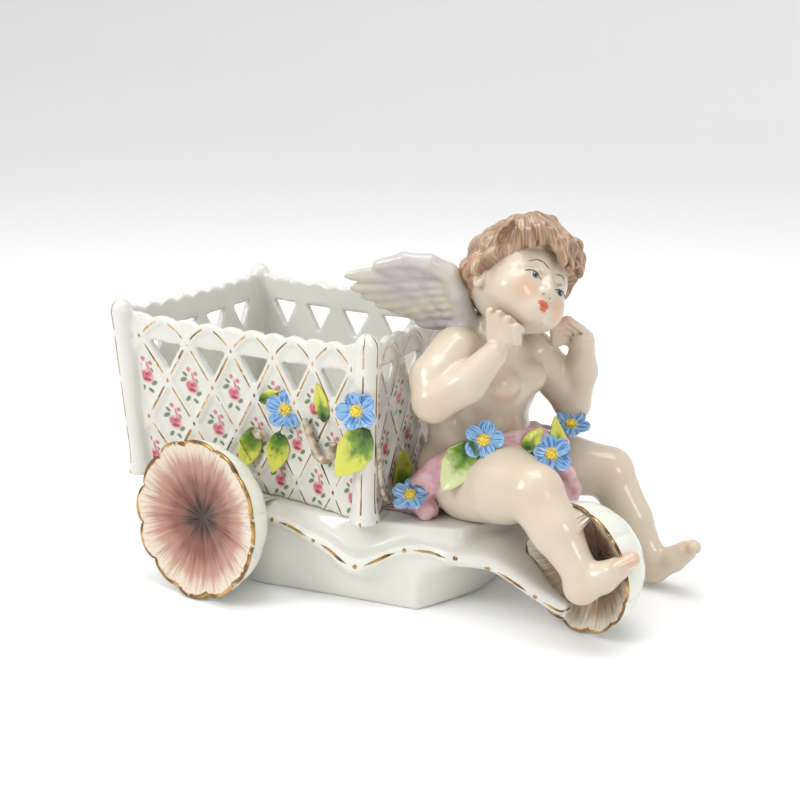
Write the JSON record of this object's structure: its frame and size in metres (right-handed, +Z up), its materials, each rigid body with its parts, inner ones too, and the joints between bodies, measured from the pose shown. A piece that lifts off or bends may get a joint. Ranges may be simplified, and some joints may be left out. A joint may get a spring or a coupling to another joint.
{
  "type": "porcelain cherub figurine",
  "caption": "Glazed porcelain cherub seated on the front of a flower cart, with a square pierced lattice basket behind and flower-shaped wheels.",
  "frame": {"origin": "on the ground under the middle of the group's plan", "axes": "+X towards the front of the cart, where the cherub sits; +Y the cherub's left; +Z up"},
  "size_m": [0.2384, 0.1626, 0.1532],
  "materials": {
    "white_glaze": "gloss white glaze with gilding and rose sprays",
    "painted_flesh": "gloss glaze painted as flesh, with brown hair, pink cloth and tinted wings",
    "mauve_flower": "gloss glaze shaded from brown-pink to cream, gilt rim",
    "forget_me_not_blue": "gloss blue glaze with a yellow eye",
    "leaf_green": "gloss green glaze with yellow tips",
    "twig_brown": "gloss pale brown glaze"
  },
  "bodies": {
    "root": {"base": "white_glaze", "basket": "white_glaze", "cherub": "painted_flesh", "rear_wheel_right": "mauve_flower", "rear_wheel_left": "mauve_flower", "front_wheel": "mauve_flower", "forget_me_not_basket_side": "forget_me_not_blue", "forget_me_not_basket_post": "forget_me_not_blue", "forget_me_not_base": "forget_me_not_blue", "forget_me_not_hip": "forget_me_not_blue", "forget_me_not_lap": "forget_me_not_blue", "forget_me_not_far_hip": "forget_me_not_blue", "leaf_basket_bud": "leaf_green", "leaf_basket_slim": "leaf_green", "leaf_basket_low_rear": "leaf_green", "leaf_basket_low_front": "leaf_green", "leaf_basket_broad": "leaf_green", "leaf_basket_corner": "leaf_green", "leaf_hip": "leaf_green", "leaf_lap_far": "leaf_green", "leaf_lap_near": "leaf_green", "twig_basket_loop": "twig_brown", "twig_basket_corner": "twig_brown", "twig_basket_stub": "twig_brown"}
  },
  "joints": []
}
